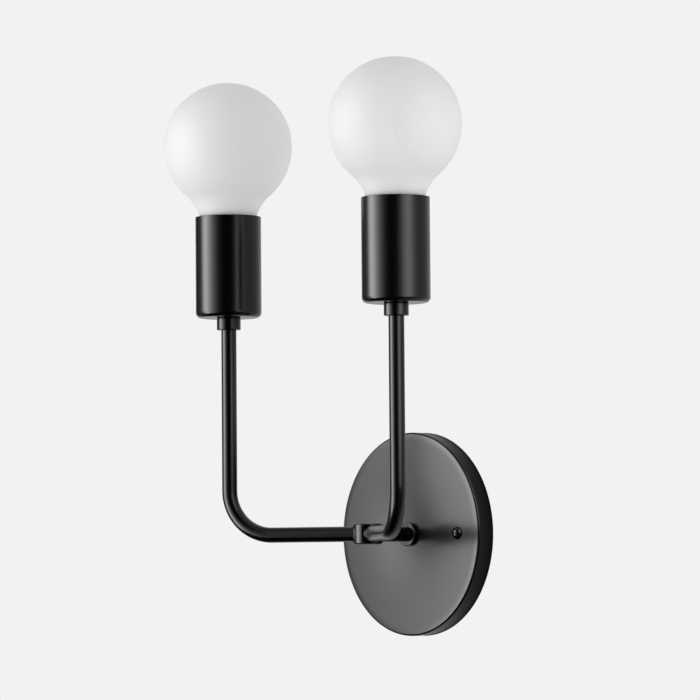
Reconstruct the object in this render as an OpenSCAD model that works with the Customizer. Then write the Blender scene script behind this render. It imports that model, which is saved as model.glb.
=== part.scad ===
// Two-light wall sconce: a round canopy, a short stem, a cluster body with two bent arms,
// and two screw-base lampholders, each in a plain cup and each with a globe bulb.
// The wall is the plane y = 0, the room lies towards -y and +z is up.
// The origin is on the wall, on the axis of the stem. Left is the -x side.

/* [Canopy] */
// Diameter of the round canopy
canopy_d = 127; // [115:1:150]
// Depth from the wall to the canopy's front face
canopy_depth = 12.7; // [11.5:0.1:20]
// Thickness of the canopy's sheet
canopy_wall = 1.2; // [0.8:0.1:2]
// Outside radius of the canopy's front corner
canopy_corner_r = 2; // [1:0.1:4]
// Distance between the two canopy screws
canopy_screw_spacing = 88.9; // [80:0.1:92]

/* [Mounting bracket] */
// Tip-to-tip length of the bracket's arms
bracket_d = 106; // [102:1:110]
// Width of a bracket arm
bracket_arm_w = 22; // [20:0.5:26]
// Thickness of the bracket's sheet
bracket_t = 1.6; // [1.2:0.1:2]
// Height of the tapped arms above the wall
bracket_raise = 4; // [3:0.1:4.4]
// Distance from the centre to where a slotted arm meets the wall
bracket_foot = 24; // [20:0.5:27]
// Distance between the centres of the two box-screw slots
box_slot_spacing = 79.4; // [78:0.1:82]
// End-to-end length of a box-screw slot
box_slot_length = 14.3; // [10:0.1:16]
// Width of a box-screw slot
box_slot_w = 4.8; // [4.4:0.1:5.4]
// Diameter of the wire hole in the bracket's middle
wire_hole_d = 15; // [14.6:0.1:17]
// Distance from the centre to the ground screw
ground_screw_x = 24; // [18:0.5:32]

/* [Stem] */
// Length of the stem from the canopy's face to the cluster body
stem_length = 25; // [15:0.5:60]
// Outside diameter of the stem and arm tubes
tube_d = 9.5; // [9.2:0.1:10.2]
// Wall of the stem and arm tubes
tube_wall = 1.25; // [0.8:0.05:1.8]
// Diameter of the collar between the stem and the canopy
stem_collar_d = 15; // [12:0.1:20]
// Thickness of the collar between the stem and the canopy
stem_collar_t = 2.5; // [1.8:0.1:5]

/* [Cluster body] */
// Diameter of the cluster body
cluster_d = 18.6; // [17.5:0.1:24]
// Height of the cluster body
cluster_h = 12.7; // [12.2:0.1:18]
// Radius of the cluster body's top and bottom edges
cluster_edge_r = 1.2; // [0.4:0.1:1.3]
// Depth of the port that each tube seats in
port_depth = 3.8; // [3:0.1:4.4]
// Diameter of the drilled ways for the wires
wireway_d = 5.6; // [4:0.1:6]

/* [Arms] */
// Angle of each arm from straight out of the wall
arm_angle = 60; // [48:1:72]
// Level distance from the cluster body's axis to a lamp's axis
arm_reach = 91; // [60:1:160]
// Radius of the arm's bend, to the tube's centre line
arm_bend_r = 28; // [15:0.5:45]
// Height of the arm's top end above the stem's axis
arm_rise = 129; // [60:1:250]

/* [Socket cups] */
// Diameter of the collar under the cup
neck_collar_d = 15; // [12:0.1:20]
// Height of the collar under the cup
neck_collar_h = 7.6; // [4:0.1:15]
// Outside diameter of the cup
cup_d = 41.3; // [39:0.1:50]
// Height of the cup
cup_h = 63.5; // [58:0.1:66]
// Thickness of the cup's side
cup_wall = 1; // [0.7:0.05:1.5]
// Thickness of the cup's floor
cup_floor_t = 1.2; // [0.8:0.1:2]
// Outside radius of the cup's bottom edge
cup_edge_r = 3.4; // [0.5:0.1:4]

/* [Lampholder] */
// Outside diameter of the lampholder
holder_d = 35; // [33.5:0.1:35.4]
// Height of the lampholder's cap
cap_h = 12; // [10.5:0.1:14]
// Thickness of the cap's floor
cap_floor_t = 2.5; // [1.5:0.1:3.5]
// Thickness of the cap's side, with its spigot
cap_wall = 3.9; // [3.2:0.1:4.5]
// Height of the spigot that joins the cap to the body
spigot_h = 2.5; // [1.5:0.1:4]
// Thickness of the spigot
spigot_t = 1.4; // [1:0.1:2]
// Height of the body's skirt under its partition
skirt_h = 6.2; // [4.5:0.1:8]
// Thickness of the partition that carries the contacts
partition_t = 6; // [4:0.1:8]
// Depth of the well above the partition
well_depth = 28.5; // [24:0.1:29]
// Sheet thickness of the screw shell
socket_shell_t = 0.4; // [0.3:0.05:0.5]
// Running gap between the bulb's base and the screw shell
base_clear = 0.3; // [0.15:0.05:0.5]
// Width of the flange at the bottom of the screw shell
shell_flange_w = 2.2; // [1:0.1:3]
// Height of the sprung centre contact above the partition
contact_h = 2.3; // [1.8:0.1:3]
// Width of the centre contact's leaf
leaf_w = 6; // [4:0.1:8]
// Distance from the centre to each terminal screw
terminal_r = 8.5; // [6.5:0.1:9.5]

/* [Bulb] */
// Diameter of the globe
globe_d = 80.8; // [70:0.1:95]
// Length of the bulb from its contact to its crown
bulb_length = 120.4; // [116:0.1:135]
// Radius of the glass neck where its shoulder starts
glass_neck_r = 16.9; // [15.5:0.1:17.2]
// Radius of the sweep between the globe and its neck
neck_sweep_r = 28; // [12:0.5:36]
// Radius of the glass shoulder above the base
shoulder_r = 5.2; // [4.4:0.1:6]
// Thickness of the glass
glass_t = 0.8; // [0.5:0.05:1.2]
// Diameter of the screw base
base_d = 26; // [25.6:0.05:26.4]
// Height of the base's metal shell
base_shell_h = 23; // [20:0.1:24]
// Sheet thickness of the base's metal shell
base_shell_t = 0.4; // [0.25:0.05:0.5]
// Height of the base's insulator
insulator_h = 3; // [2:0.1:4]
// Radius of the centre contact on the base
tip_r = 4.6; // [3.5:0.1:5]
// Thickness of the centre contact on the base
tip_t = 1; // [0.6:0.1:1.6]
// Depth of the glass neck inside the base
plug_h = 10; // [6:0.1:12]
// Height of the inner stem above the base's rim
inner_stem_h = 22; // [14:0.5:26]
// Half the distance between the filament's ends
filament_r = 11; // [7:0.5:14]

/* [Nipples, nuts and screws] */
// Outside diameter of the threaded nipples
nipple_d = 8; // [7.6:0.05:8.2]
// Bore of the threaded nipples
nipple_bore = 5.5; // [4:0.1:6]
// Depth of each nipple inside its tube
nipple_grip = 10; // [6:0.5:14]
// Width across the flats of the nuts
nut_flats = 12; // [11:0.1:12.4]
// Thickness of the nuts
nut_t = 3.5; // [2.5:0.1:4]
// Thickness of the lock washer
washer_t = 0.8; // [0.5:0.1:1.2]
// Diameter of the lock washer
washer_d = 13; // [11:0.1:14]
// Length of nipple that shows past each nut
nipple_end = 0.7; // [0.3:0.1:1.2]
// Diameter of the canopy and ground screws
screw_d = 4.17; // [3.5:0.01:4.5]
// Diameter of a canopy screw's head
screw_head_d = 8.2; // [7:0.1:9]
// Height of a canopy screw's head
screw_head_h = 3.3; // [2.2:0.1:3.6]
// Width of a canopy screw's slot
screw_slot_w = 1.1; // [0.8:0.05:1.4]
// Depth of a canopy screw's slot
screw_slot_h = 1.5; // [1:0.1:1.8]
// Distance from each screw's tip to the wall
tip_gap = 0.7; // [0.4:0.1:1]
// Radial gap in threads and between seated pieces
fit = 0.05; // [0.03:0.01:0.08]

/* [Hidden] */

$fn = 72;
arc_step = 7.5;
past = 1;
left = -1;
right = 1;

black = [0.07, 0.07, 0.075];
steel = [0.72, 0.73, 0.74];
brass = [0.78, 0.62, 0.32];
phenolic = [0.14, 0.10, 0.08];
frosted = [0.95, 0.95, 0.94];
ground_green = [0.10, 0.42, 0.20];

canopy_r = canopy_d / 2;
tube_r = tube_d / 2;
tube_bore_r = tube_r - tube_wall;
nipple_r = nipple_d / 2;
nipple_hole_r = nipple_r + fit;
screw_r = screw_d / 2;
tapped_r = screw_r + fit;
screw_pass_r = screw_r + 0.25;

bracket_front = bracket_raise + bracket_t;
canopy_inside = canopy_depth - canopy_wall;
stem_seat = canopy_depth + stem_collar_t;
cluster_r = cluster_d / 2;
cluster_out = canopy_depth + stem_length + cluster_r;
port_floor = cluster_r - port_depth;

cup_r = cup_d / 2;
cup_bore_r = cup_r - cup_wall;
cup_inner_edge_r = max(cup_edge_r - cup_wall, 0.3);
cup_z = arm_rise + neck_collar_h;
cap_z = cup_z + cup_floor_t;
body_z = cap_z + cap_h;
partition_z = body_z + skirt_h;
well_z = partition_z + partition_t;
body_h = skirt_h + partition_t + well_depth;
holder_r = holder_d / 2;
cap_bore_r = holder_r - cap_wall;
spigot_r = cap_bore_r + spigot_t;
base_r = base_d / 2;
shell_in_r = base_r + base_clear;
shell_out_r = shell_in_r + socket_shell_t;
well_r = shell_out_r + fit;
shell_end_gap = 0.5;

leaf_t = 0.4;
rivet_r = 1.4;
rivet_head_r = 2.1;
rivet_x = -7;
terminal_screw_r = 1.75;
terminal_head_r = 3;
terminal_head_h = 2.2;
terminal_length = partition_t - 1;

contact_gap = 0.1;
bulb_z = well_z + contact_h + contact_gap;
insulator_z = tip_t;
shell_z = insulator_z + insulator_h;
shell_top = shell_z + base_shell_h;
base_bore_r = base_r - base_shell_t;
plug_r = base_bore_r - fit;
lip_w = 1;
lip_r = base_bore_r - lip_w;
insulator_top_h = 1.2;
globe_r = globe_d / 2;
globe_z = bulb_length - globe_r;
shoulder_x = glass_neck_r - shoulder_r;
shoulder_z = shell_top + shoulder_r;
sweep = touching_both([0, globe_z], globe_r, [shoulder_x, shoulder_z], shoulder_r, neck_sweep_r);
inner_stem_r = 3;
inner_stem_top = shell_top + inner_stem_h;
lead_r = 0.4;
lead_x = 1.6;
filament_wire_r = 0.3;
filament_z = max(globe_z, inner_stem_top + 6);

// Points on an arc, from one angle to another.
function arc(x, y, r, from, to) =
    let (steps = max(2, ceil(abs(to - from) / arc_step)))
    [for (i = [0 : steps]) let (a = from + (to - from) * i / steps) [x + r * cos(a), y + r * sin(a)]];

// Middle of a circle that touches two others from outside, on the right of the way from
// the first one down to the second.
function touching_both(first, first_r, second, second_r, r) =
    let (
        span = norm(second - first),
        down = (second - first) / span,
        along = (pow(span, 2) + pow(first_r + r, 2) - pow(second_r + r, 2)) / (2 * span),
        aside = sqrt(pow(first_r + r, 2) - pow(along, 2))
    )
    first + along * down + aside * [-down.y, down.x];

// Direction from one point to another, in degrees.
function bearing(from, to) = atan2(to.y - from.y, to.x - from.x);

function reversed(points) = [for (i = [len(points) - 1 : -1 : 0]) points[i]];

// Turns a shape that stands on the wall plane so that its height points into the room.
module on_wall() {
    rotate([90, 0, 0]) children();
}

module on_cluster() {
    translate([0, -cluster_out, 0]) children();
}

// The frame of one arm: it leaves the cluster body's axis along -y.
module on_arm(side) {
    on_cluster() rotate([0, 0, side * arm_angle]) children();
}

// The frame of one lamp: z is the lamp's axis.
module on_lamp(side) {
    on_arm(side) translate([0, -arm_reach, 0]) children();
}

module on_bulb(side) {
    on_lamp(side) translate([0, 0, bulb_z]) children();
}

module ring(outer_r, inner_r, h) {
    linear_extrude(h) difference() {
        circle(outer_r);
        circle(inner_r);
    }
}

// A collar with softened outer edges.
module collar(outer_r, inner_r, h, low_edge_r, high_edge_r) {
    rotate_extrude() polygon(concat(
        [[inner_r, 0]],
        arc(outer_r - low_edge_r, low_edge_r, low_edge_r, -90, 0),
        arc(outer_r - high_edge_r, h - high_edge_r, high_edge_r, 0, 90),
        [[inner_r, h]]
    ));
}

module hex_nut() {
    difference() {
        cylinder(r = nut_flats / 2 / cos(30), h = nut_t, $fn = 6);
        translate([0, 0, -past]) cylinder(r = nipple_hole_r, h = nut_t + 2 * past);
    }
}

module slot(length, width, h) {
    linear_extrude(h) {
        square([width, length - width], center = true);
        for (end = [-1, 1]) translate([0, end * (length - width) / 2]) circle(width / 2);
    }
}

// Stamped cross: the upright arms lie on the wall box, and the level arms stand off it.
module mounting_bracket() {
    color(steel) on_wall() difference() {
        intersection() {
            union() {
                slotted_arms();
                translate([0, 0, bracket_raise]) linear_extrude(bracket_t)
                    square([bracket_d, bracket_arm_w], center = true);
            }
            cylinder(d = bracket_d, h = bracket_front + past);
        }
        translate([0, 0, -past]) cylinder(d = wire_hole_d, h = bracket_front + 2 * past);
        for (end = [-1, 1]) {
            translate([0, end * box_slot_spacing / 2, -past])
                slot(box_slot_length, box_slot_w, bracket_front + 2 * past);
            translate([end * canopy_screw_spacing / 2, 0, 0])
                cylinder(r = tapped_r, h = bracket_front + past);
        }
        translate([-ground_screw_x, 0, 0]) cylinder(r = tapped_r, h = bracket_front + past);
    }
}

// The strip steps from the wall up to the raised middle at 45 degrees and back down.
module slotted_arms() {
    reach = bracket_d / 2;
    head = bracket_foot - bracket_raise;
    shift = bracket_t * (sqrt(2) - 1);
    rotate([90, 0, 90]) translate([0, 0, -bracket_arm_w / 2]) linear_extrude(bracket_arm_w)
        polygon([
            [-reach, 0], [-bracket_foot, 0], [-head, bracket_raise],
            [head, bracket_raise], [bracket_foot, 0], [reach, 0],
            [reach, bracket_t], [bracket_foot + shift, bracket_t], [head + shift, bracket_front],
            [-head - shift, bracket_front], [-bracket_foot - shift, bracket_t], [-reach, bracket_t]
        ]);
}

module ground_screw() {
    flange_r = 4.6;
    flange_t = 0.8;
    hex_r = 3.6;
    hex_h = 2;
    color(ground_green) on_wall() translate([-ground_screw_x, 0, 0]) {
        translate([0, 0, tip_gap]) cylinder(r = screw_r, h = bracket_front - tip_gap);
        translate([0, 0, bracket_front]) cylinder(r = flange_r, h = flange_t);
        translate([0, 0, bracket_front + flange_t]) cylinder(r = hex_r, h = hex_h, $fn = 6);
    }
}

// Shallow dish, open towards the wall.
module canopy() {
    inner_r = max(canopy_corner_r - canopy_wall, 0.3);
    color(black) on_wall() difference() {
        rotate_extrude() polygon(concat(
            [[canopy_r, 0]],
            arc(canopy_r - canopy_corner_r, canopy_depth - canopy_corner_r, canopy_corner_r, 0, 90),
            [[0, canopy_depth], [0, canopy_inside]],
            arc(canopy_r - canopy_wall - inner_r, canopy_inside - inner_r, inner_r, 90, 0),
            [[canopy_r - canopy_wall, 0]]
        ));
        cylinder(r = nipple_hole_r, h = canopy_depth + past);
        for (end = [-1, 1]) translate([end * canopy_screw_spacing / 2, 0, 0])
            cylinder(r = screw_pass_r, h = canopy_depth + past);
    }
}

module canopy_screws() {
    color(black) on_wall() for (end = [-1, 1]) translate([end * canopy_screw_spacing / 2, 0, 0]) {
        translate([0, 0, tip_gap]) cylinder(r = screw_r, h = canopy_depth - tip_gap);
        translate([0, 0, canopy_depth]) screw_head();
    }
}

// Round head: a cap of a sphere with an upright slot.
module screw_head() {
    head_r = screw_head_d / 2;
    dome_r = (pow(head_r, 2) + pow(screw_head_h, 2)) / (2 * screw_head_h);
    difference() {
        rotate_extrude() polygon(concat(
            [[0, 0]],
            arc(0, screw_head_h - dome_r, dome_r, asin((dome_r - screw_head_h) / dome_r), 90)
        ));
        translate([-screw_slot_w / 2, -head_r - past, screw_head_h - screw_slot_h])
            cube([screw_slot_w, 2 * (head_r + past), screw_slot_h + past]);
    }
}

module stem_collar() {
    color(black) on_wall() translate([0, 0, canopy_depth])
        collar(stem_collar_d / 2, nipple_hole_r, stem_collar_t, 0.2, 0.8);
}

module stem_tube() {
    grip_end = stem_seat + nipple_grip;
    color(black) on_wall() difference() {
        translate([0, 0, stem_seat]) cylinder(r = tube_r, h = cluster_out - port_floor - stem_seat);
        translate([0, 0, stem_seat - past]) cylinder(r = nipple_hole_r, h = nipple_grip + past);
        translate([0, 0, grip_end - past]) cylinder(r = tube_bore_r, h = cluster_out - grip_end);
    }
}

module stem_nipple() {
    back = canopy_inside - washer_t - nut_t - nipple_end;
    color(steel) on_wall() translate([0, 0, back])
        ring(nipple_r, nipple_bore / 2, stem_seat + nipple_grip - back);
}

module stem_lock_washer() {
    color(steel) on_wall() translate([0, 0, canopy_inside - washer_t])
        ring(washer_d / 2, nipple_hole_r, washer_t);
}

module stem_nut() {
    color(steel) on_wall() translate([0, 0, canopy_inside - washer_t - nut_t]) hex_nut();
}

// Upright cylinder with one port for the stem and one for each arm, and a chamber where
// the ways for the wires meet.
module cluster_body() {
    chamber_r = port_floor - 1;
    chamber_h = wireway_d + 1;
    way_start = wireway_d * 0.475;
    color(black) on_cluster() difference() {
        translate([0, 0, -cluster_h / 2])
            collar(cluster_r, 0, cluster_h, cluster_edge_r, cluster_edge_r);
        translate([0, 0, -chamber_h / 2]) cylinder(r = chamber_r, h = chamber_h);
        for (turn = [-arm_angle, arm_angle, 180]) rotate([90, 0, turn]) {
            translate([0, 0, port_floor]) cylinder(r = tube_r + fit, h = port_depth + past);
            translate([0, 0, way_start]) cylinder(d = wireway_d, h = port_floor - way_start + past);
        }
    }
}

// One tube: level from its port, a quarter bend, then upright to the neck collar.
module arm(side) {
    bend_start = arm_reach - arm_bend_r;
    color(black) on_arm(side) {
        translate([0, -port_floor, 0]) rotate([90, 0, 0])
            ring(tube_r, tube_bore_r, bend_start - port_floor);
        translate([0, -bend_start, arm_bend_r]) rotate([0, 90, 180]) rotate_extrude(angle = 90)
            translate([arm_bend_r, 0]) difference() {
                circle(tube_r);
                circle(tube_bore_r);
            }
        translate([0, -arm_reach, arm_bend_r])
            ring(tube_r, tube_bore_r, arm_rise - nipple_grip - arm_bend_r);
        translate([0, -arm_reach, arm_rise - nipple_grip])
            ring(tube_r, nipple_hole_r, nipple_grip);
    }
}

module neck_collar(side) {
    color(black) on_lamp(side) translate([0, 0, arm_rise])
        collar(neck_collar_d / 2, nipple_hole_r, neck_collar_h, 0.5, 0.3);
}

module arm_nipple(side) {
    bottom = arm_rise - nipple_grip;
    color(steel) on_lamp(side) translate([0, 0, bottom])
        ring(nipple_r, nipple_bore / 2, cap_z + cap_floor_t + nut_t + nipple_end - bottom);
}

module socket_cup(side) {
    color(black) on_lamp(side) translate([0, 0, cup_z]) rotate_extrude() polygon(concat(
        [[nipple_hole_r, 0]],
        arc(cup_r - cup_edge_r, cup_edge_r, cup_edge_r, -90, 0),
        [[cup_r, cup_h], [cup_bore_r, cup_h]],
        arc(cup_bore_r - cup_inner_edge_r, cup_floor_t + cup_inner_edge_r, cup_inner_edge_r, 0, -90),
        [[nipple_hole_r, cup_floor_t]]
    ));
}

module socket_nut(side) {
    color(steel) on_lamp(side) translate([0, 0, cap_z + cap_floor_t]) hex_nut();
}

// Lower half of the lampholder: its spigot stands up inside the body's skirt, and its
// bottom edge clears the cup's inner corner.
module socket_cap(side) {
    edge_r = max(1, cup_inner_edge_r - (cup_bore_r - holder_r));
    color(phenolic) on_lamp(side) translate([0, 0, cap_z]) rotate_extrude() polygon(concat(
        [[nipple_hole_r, 0]],
        arc(holder_r - edge_r, edge_r, edge_r, -90, 0),
        [[holder_r, cap_h], [spigot_r, cap_h], [spigot_r, cap_h + spigot_h]],
        [[cap_bore_r, cap_h + spigot_h], [cap_bore_r, cap_floor_t], [nipple_hole_r, cap_floor_t]]
    ));
}

// Upper half of the lampholder: skirt, partition and the well for the screw shell.
module socket_body(side) {
    rim_r = 0.8;
    skirt_r = spigot_r + fit;
    color(phenolic) on_lamp(side) translate([0, 0, body_z]) difference() {
        rotate_extrude() polygon(concat(
            [[0, 0], [holder_r, 0]],
            arc(holder_r - rim_r, body_h - rim_r, rim_r, 0, 90),
            [[0, body_h]]
        ));
        translate([0, 0, -past]) cylinder(r = skirt_r, h = skirt_h + past);
        translate([0, 0, skirt_h + partition_t]) cylinder(r = well_r, h = well_depth + past);
        translate([rivet_x, 0, 0]) cylinder(r = rivet_r + fit, h = skirt_h + partition_t + past);
        for (end = [-1, 1]) translate([0, end * terminal_r, 0])
            cylinder(r = terminal_screw_r + fit, h = skirt_h + terminal_length);
    }
}

module socket_shell(side) {
    shell_h = well_depth - shell_end_gap;
    color(brass) on_lamp(side) translate([0, 0, well_z]) {
        ring(shell_out_r, shell_in_r, shell_h);
        ring(shell_out_r, shell_in_r - shell_flange_w, socket_shell_t);
    }
}

// Sprung leaf, riveted down at one end and arched up under the bulb.
module socket_contact(side) {
    crest = contact_h - leaf_t;
    color(brass) on_lamp(side) translate([0, 0, well_z]) {
        difference() {
            rotate([90, 0, 0]) translate([0, 0, -leaf_w / 2]) linear_extrude(leaf_w) polygon([
                [-9.4, 0], [-4.6, 0], [-1.8, crest], [1.8, crest], [6, 0.8], [8, 0.8],
                [8, 0.8 + leaf_t], [6, 0.8 + leaf_t], [2, contact_h], [-2, contact_h],
                [-4.8, leaf_t], [-9.4, leaf_t]
            ]);
            translate([rivet_x, 0, -past]) cylinder(r = rivet_r, h = leaf_t + 2 * past);
        }
        translate([rivet_x, 0, -partition_t]) cylinder(r = rivet_r, h = partition_t + leaf_t);
        translate([rivet_x, 0, leaf_t]) cylinder(r = rivet_head_r, h = 0.6);
    }
}

module terminal_screws(side) {
    color(brass) on_lamp(side) for (end = [-1, 1])
        translate([0, end * terminal_r, partition_z]) {
            cylinder(r = terminal_screw_r, h = terminal_length - 0.5);
            translate([0, 0, -terminal_head_h]) difference() {
                cylinder(r = terminal_head_r, h = terminal_head_h);
                translate([-terminal_head_r - past, -0.4, -past])
                    cube([2 * (terminal_head_r + past), 0.8, past + 0.9]);
            }
        }
}

// Half of the bulb's outline, from the crown down to the end inside the base.
function glass_outline(inset) =
    let (
        wall_r = plug_r - inset,
        bow_r = shoulder_r - inset,
        to_sweep = bearing([0, globe_z], sweep),
        from_shoulder = bearing([shoulder_x, shoulder_z], sweep)
    )
    concat(
        arc(0, globe_z, globe_r - inset, 90, to_sweep),
        arc(sweep.x, sweep.y, neck_sweep_r + inset, 180 + to_sweep, 180 + from_shoulder),
        arc(shoulder_x, shoulder_z, bow_r, from_shoulder, -acos((wall_r - shoulder_x) / bow_r)),
        [[wall_r, shell_top - plug_h]]
    );

module bulb_glass(side) {
    color(frosted) on_bulb(side) rotate_extrude()
        polygon(concat(glass_outline(0), reversed(glass_outline(glass_t))));
}

module bulb_shell(side) {
    color(steel) on_bulb(side) translate([0, 0, shell_z]) {
        ring(base_r, base_bore_r, base_shell_h);
        ring(base_r, lip_r, base_shell_t);
    }
}

// Black glass between the shell and the centre contact, held by the shell's lip.
module bulb_insulator(side) {
    waist_r = lip_r - fit;
    color(phenolic) on_bulb(side) translate([0, 0, insulator_z]) rotate_extrude() polygon([
        [0, 0], [tip_r + 0.6, 0], [waist_r, insulator_h], [waist_r, insulator_h + base_shell_t],
        [plug_r, insulator_h + base_shell_t], [plug_r, insulator_h + base_shell_t + insulator_top_h],
        [0, insulator_h + base_shell_t + insulator_top_h]
    ]);
}

module bulb_contact(side) {
    color(steel) on_bulb(side) collar(tip_r, 0, tip_t, min(0.5, tip_t / 2), 0.05);
}

// Flared glass mount, sealed to the neck at its foot.
module bulb_stem(side) {
    flare_r = plug_r - glass_t - fit;
    flare_z = shell_top - plug_h + 1;
    flare_t = 0.9;
    color(frosted) on_bulb(side) rotate_extrude() polygon([
        [flare_r, flare_z], [flare_r, flare_z + flare_t], [inner_stem_r, shell_top],
        [inner_stem_r, inner_stem_top], [0, inner_stem_top], [0, shell_top - flare_t],
        [inner_stem_r - flare_t, shell_top - flare_t], [flare_r - flare_t, flare_z]
    ]);
}

// Two lead wires that rise from the stem, and the filament arched between their ends.
module bulb_filament(side) {
    rise = filament_z - inner_stem_top;
    spread = filament_r - lead_x;
    lean = atan2(spread, rise);
    foot = lead_r * sin(lean);
    lead_length = sqrt(pow(rise, 2) + pow(spread, 2)) - foot;
    color(steel) on_bulb(side) {
        for (end = [-1, 1]) translate([end * lead_x, 0, inner_stem_top + foot])
            rotate([0, end * lean, 0]) cylinder(r = lead_r, h = lead_length);
        translate([0, 0, filament_z]) rotate([90, 0, 0]) rotate_extrude(angle = 180)
            translate([filament_r, 0]) circle(filament_wire_r);
    }
}

mounting_bracket();
ground_screw();
canopy();
canopy_screws();
stem_collar();
stem_tube();
stem_nipple();
stem_lock_washer();
stem_nut();
cluster_body();
arm(left);  // left_arm
neck_collar(left);  // left_neck_collar
arm_nipple(left);  // left_arm_nipple
socket_cup(left);  // left_socket_cup
socket_nut(left);  // left_socket_nut
socket_cap(left);  // left_socket_cap
socket_body(left);  // left_socket_body
socket_shell(left);  // left_socket_shell
socket_contact(left);  // left_socket_contact
terminal_screws(left);  // left_terminal_screws
bulb_glass(left);  // left_bulb_glass
bulb_shell(left);  // left_bulb_shell
bulb_insulator(left);  // left_bulb_insulator
bulb_contact(left);  // left_bulb_contact
bulb_stem(left);  // left_bulb_stem
bulb_filament(left);  // left_bulb_filament
arm(right);  // right_arm
neck_collar(right);  // right_neck_collar
arm_nipple(right);  // right_arm_nipple
socket_cup(right);  // right_socket_cup
socket_nut(right);  // right_socket_nut
socket_cap(right);  // right_socket_cap
socket_body(right);  // right_socket_body
socket_shell(right);  // right_socket_shell
socket_contact(right);  // right_socket_contact
terminal_screws(right);  // right_terminal_screws
bulb_glass(right);  // right_bulb_glass
bulb_shell(right);  // right_bulb_shell
bulb_insulator(right);  // right_bulb_insulator
bulb_contact(right);  // right_bulb_contact
bulb_stem(right);  // right_bulb_stem
bulb_filament(right);  // right_bulb_filament
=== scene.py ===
"""Two-light wall sconce in satin black: fine pieces, finishes, camera and studio light.

Lengths are in metres. The wall is the plane y = 0, the room lies towards -y and +z is up.
Left is the -x side.
"""
import math

import bmesh
import bpy
from mathutils import Matrix, Vector


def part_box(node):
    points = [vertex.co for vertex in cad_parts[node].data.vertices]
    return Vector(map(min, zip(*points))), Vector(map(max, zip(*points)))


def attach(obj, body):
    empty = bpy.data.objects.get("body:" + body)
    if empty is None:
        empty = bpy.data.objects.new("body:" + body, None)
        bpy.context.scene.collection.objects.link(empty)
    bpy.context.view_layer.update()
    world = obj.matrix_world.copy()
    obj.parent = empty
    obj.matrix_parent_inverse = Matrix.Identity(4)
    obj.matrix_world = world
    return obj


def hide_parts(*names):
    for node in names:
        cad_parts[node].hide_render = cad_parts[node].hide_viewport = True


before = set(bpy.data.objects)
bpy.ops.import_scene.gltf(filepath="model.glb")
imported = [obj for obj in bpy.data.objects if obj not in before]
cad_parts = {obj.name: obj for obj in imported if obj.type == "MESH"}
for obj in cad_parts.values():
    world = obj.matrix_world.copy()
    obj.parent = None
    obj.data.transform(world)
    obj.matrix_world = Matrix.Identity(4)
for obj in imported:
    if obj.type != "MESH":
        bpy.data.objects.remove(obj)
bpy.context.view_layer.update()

MM = 0.001
SIDES = ("left", "right")
# Corners round a turned piece, its thread, and a tube or small piece
TURN_STEPS = 192
THREAD_STEPS = 128
TUBE_STEPS = 96
ARC_STEP = 5
SHARP_ANGLE = math.radians(42)
# An outline's point nearer than this to the axis lies on it
ON_AXIS = 1e-6
UP = Vector((0, 0, 1))

# Thread on the bulb's base and in the screw shell
BASE_PITCH = 25.4 * MM / 7
BASE_THREAD_DEPTH = 0.65 * MM
# Thread on the canopy screws
SCREW_PITCH = 25.4 * MM / 32
SCREW_THREAD_DEPTH = 0.35 * MM
# Small radius on edges of sheet and turned metal
EDGE = 0.25 * MM


# Shapes

def arc(x, y, radius, start, end, step=ARC_STEP):
    """Points on an arc, from one angle to another in degrees."""
    count = max(2, math.ceil(abs(end - start) / step))
    turns = [math.radians(start + (end - start) * i / count) for i in range(count + 1)]
    return [(x + radius * math.cos(t), y + radius * math.sin(t)) for t in turns]


def upright(x, y, z):
    """Frame of a piece that stands on a vertical axis."""
    return Matrix.Translation((x, y, z))


def on_wall(x, z):
    """Frame of a piece whose height points from the wall into the room."""
    return Matrix.Translation((x, 0, z)) @ Matrix.Rotation(math.radians(90), 4, "X")


def add_piece(name, bm, body, finish, replaced=()):
    """Makes a shaded piece of a mesh, and has it ride on its body in place of CAD nodes."""
    bmesh.ops.recalc_face_normals(bm, faces=bm.faces)
    mesh = bpy.data.meshes.new(name)
    bm.to_mesh(mesh)
    bm.free()
    mesh.shade_smooth()
    mesh.set_sharp_from_angle(angle=SHARP_ANGLE)
    mesh.materials.append(finishes[finish])
    piece = bpy.data.objects.new(name, mesh)
    bpy.context.scene.collection.objects.link(piece)
    even = piece.modifiers.new("even_shading", "WEIGHTED_NORMAL")
    even.keep_sharp = True
    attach(piece, body)
    if replaced:
        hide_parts(*replaced)
    return piece


def turned(outline, place, steps=TURN_STEPS, pitch=None, depth=0):
    """Revolves a closed outline of (radius, height) points. A third number on a point is how
    fully a right-hand thread of that pitch and depth is cut into it."""
    bm = bmesh.new()
    angles = [2 * math.pi * k / steps for k in range(steps)]
    rings = []
    for radius, height, *threaded in outline:
        if radius < ON_AXIS:
            rings.append([bm.verts.new(place @ Vector((0, 0, height)))])
            continue
        ring = []
        for angle in angles:
            r = radius
            if threaded:
                phase = 2 * math.pi * height / pitch - angle
                r -= depth * threaded[0] * (1 - math.cos(phase)) / 2
            point = Vector((r * math.cos(angle), r * math.sin(angle), height))
            ring.append(bm.verts.new(place @ point))
        rings.append(ring)
    for low, high in zip(rings, rings[1:] + rings[:1]):
        if len(low) == 1 and len(high) == 1:
            continue
        for k in range(steps):
            corners = [low[k % len(low)], low[(k + 1) % len(low) if len(low) > 1 else 0],
                       high[(k + 1) % len(high) if len(high) > 1 else 0], high[k % len(high)]]
            bm.faces.new(list(dict.fromkeys(corners)))
    return bm


def box_of(node):
    """Middle, half size, and lowest and highest corner of a CAD node."""
    low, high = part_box(node)
    return (low + high) / 2, (high - low) / 2, low, high


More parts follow.
